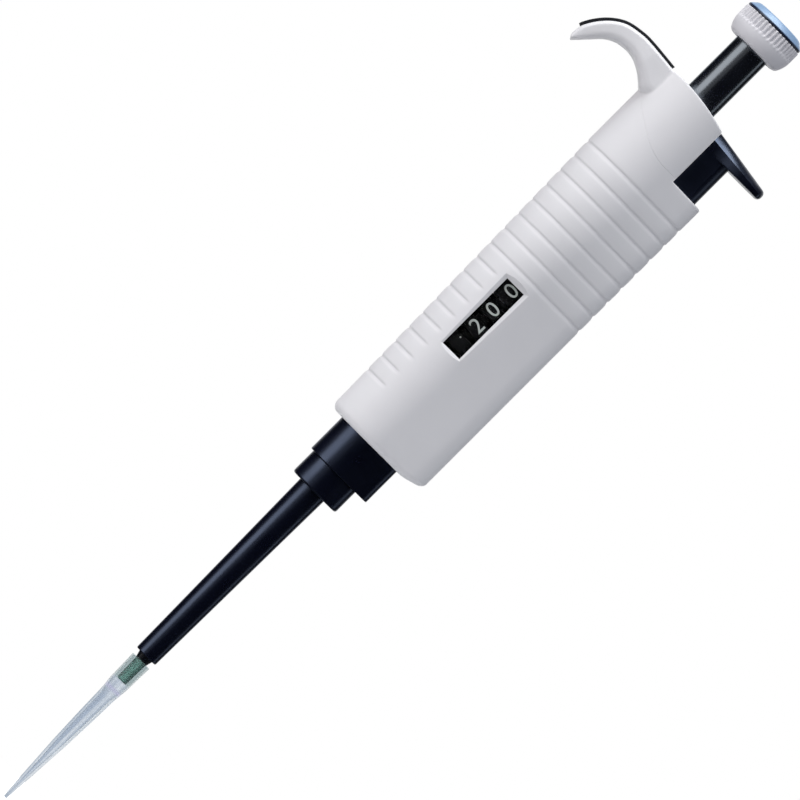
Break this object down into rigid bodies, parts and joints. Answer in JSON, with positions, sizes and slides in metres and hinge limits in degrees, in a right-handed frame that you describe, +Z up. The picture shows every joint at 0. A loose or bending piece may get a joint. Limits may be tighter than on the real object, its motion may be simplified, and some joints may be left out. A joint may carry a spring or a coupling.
{
  "type": "micropipette",
  "caption": "Adjustable air-displacement micropipette with finger hook, number-wheel volume counter, sprung plunger, side ejector button and a fitted disposable tip.",
  "frame": {"origin": "centre of the disposable tip's lower end, on the plunger's axis", "axes": "+Z up the plunger's axis from the tip to the knob, +X towards the ejector button, -X towards the finger hook, -Y out of the volume window"},
  "size_m": [0.0653, 0.0272, 0.2846],
  "materials": {
    "grey_plastic": "fine satin",
    "black_plastic": "satin gloss",
    "dark_plastic": "satin",
    "clear_plastic": "polished",
    "tip_plastic": "translucent polypropylene",
    "blue_plastic": "satin gloss",
    "white_plastic": "moulded",
    "rubber": "moulded",
    "steel": "ground",
    "brass": "turned"
  },
  "bodies": {
    "housing": {"handle_shell": "grey_plastic", "top_cap": "grey_plastic", "hook_strip": "black_plastic", "window_lens": "clear_plastic", "nose_socket": "white_plastic", "tip_cone": "dark_plastic", "piston_seal": "white_plastic", "piston_o_ring": "rubber", "seal_retainer": "brass", "counter_frame": "white_plastic", "middle_plate": "white_plastic", "upper_bearing": "white_plastic", "friction_ring": "rubber", "plunger_bush": "white_plastic", "blowout_spring": "steel", "ejector_spring": "steel", "pinion_shaft": "steel"},
    "stop_stage": {"stop_cup": "brass", "main_spring": "steel"},
    "plunger": {"piston": "steel"},
    "knob_spindle": {"spindle": "steel", "stop_pin": "steel", "plunger_sleeve": "black_plastic", "knob": "grey_plastic", "knob_cap": "blue_plastic"},
    "volume_drive": {"drive_sleeve": "brass", "wheel_units": "black_plastic"},
    "tens": {"wheel_tens": "black_plastic"},
    "hundreds": {"wheel_hundreds": "black_plastic"},
    "thousands": {"wheel_thousands": "black_plastic"},
    "tens_pinion": {"pinion_tens": "brass"},
    "hundreds_pinion": {"pinion_hundreds": "brass"},
    "thousands_pinion": {"pinion_thousands": "brass"},
    "nut": {"volume_nut": "white_plastic"},
    "ejector": {"ejector_button": "black_plastic", "ejector_rod": "steel", "ejector_collar": "black_plastic", "ejector_sleeve": "black_plastic"},
    "fitted_tip": {"tip": "tip_plastic"}
  },
  "joints": [
    {"name": "blowout_press", "type": "slide", "parent": "housing", "child": "stop_stage", "axis": [0, 0, -1], "range_m": [0, 0.0029], "stiffness_N_per_m": 5000, "springref_m": -0.0025, "deforming": ["blowout_spring"]},
    {"name": "plunger_press", "type": "slide", "parent": "stop_stage", "child": "plunger", "axis": [0, 0, -1], "range_m": [0, 0.0126], "stiffness_N_per_m": 400, "springref_m": -0.01, "deforming": ["main_spring"]},
    {"name": "volume_turn", "type": "hinge", "parent": "plunger", "child": "knob_spindle", "pos_m": [0, 0, 0.25], "axis": [0, 0, -1], "range_deg": [0, 6480]},
    {"name": "drive_turn", "type": "hinge", "parent": "housing", "child": "volume_drive", "pos_m": [0, 0, 0.2], "axis": [0, 0, -1], "range_deg": [0, 6480]},
    {"name": "tens_turn", "type": "hinge", "parent": "housing", "child": "tens", "pos_m": [0, 0, 0.179], "axis": [0, 0, -1], "range_deg": [0, 648]},
    {"name": "hundreds_turn", "type": "hinge", "parent": "housing", "child": "hundreds", "pos_m": [0, 0, 0.173], "axis": [0, 0, -1], "range_deg": [0, 64.8]},
    {"name": "thousands_turn", "type": "hinge", "parent": "housing", "child": "thousands", "pos_m": [0, 0, 0.167], "axis": [0, 0, -1], "range_deg": [0, 6.48]},
    {"name": "tens_pinion_turn", "type": "hinge", "parent": "housing", "child": "tens_pinion", "pos_m": [0.00953, 0.00347, 0.181], "axis": [0, 0, -1], "range_deg": [-2160, 0]},
    {"name": "hundreds_pinion_turn", "type": "hinge", "parent": "housing", "child": "hundreds_pinion", "pos_m": [0.00953, 0.00347, 0.175], "axis": [0, 0, -1], "range_deg": [-216, 0]},
    {"name": "thousands_pinion_turn", "type": "hinge", "parent": "housing", "child": "thousands_pinion", "pos_m": [0.00953, 0.00347, 0.169], "axis": [0, 0, -1], "range_deg": [-21.6, 0]},
    {"name": "nut_travel", "type": "slide", "parent": "housing", "child": "nut", "axis": [0, 0, -1], "range_m": [0, 0.01134]},
    {"name": "ejector_press", "type": "slide", "parent": "housing", "child": "ejector", "axis": [0, 0, -1], "range_m": [0, 0.0085], "stiffness_N_per_m": 600, "springref_m": -0.006, "deforming": ["ejector_spring"]},
    {"name": "tip_eject", "type": "slide", "parent": "housing", "child": "fitted_tip", "axis": [0, 0, -1], "range_m": [0, 0.0085]}
  ],
  "couplings": [
    {"joint": "drive_turn", "follows": "volume_turn", "ratio": 1},
    {"joint": "tens_turn", "follows": "volume_turn", "ratio": 0.1},
    {"joint": "hundreds_turn", "follows": "volume_turn", "ratio": 0.01},
    {"joint": "thousands_turn", "follows": "volume_turn", "ratio": 0.001},
    {"joint": "tens_pinion_turn", "follows": "volume_turn", "ratio": -0.33333},
    {"joint": "hundreds_pinion_turn", "follows": "volume_turn", "ratio": -0.033333},
    {"joint": "thousands_pinion_turn", "follows": "volume_turn", "ratio": -0.0033333},
    {"joint": "nut_travel", "follows": "volume_turn", "m_per_rad": 0.00010026},
    {"joint": "tip_eject", "follows": "ejector_press", "ratio": 1}
  ]
}
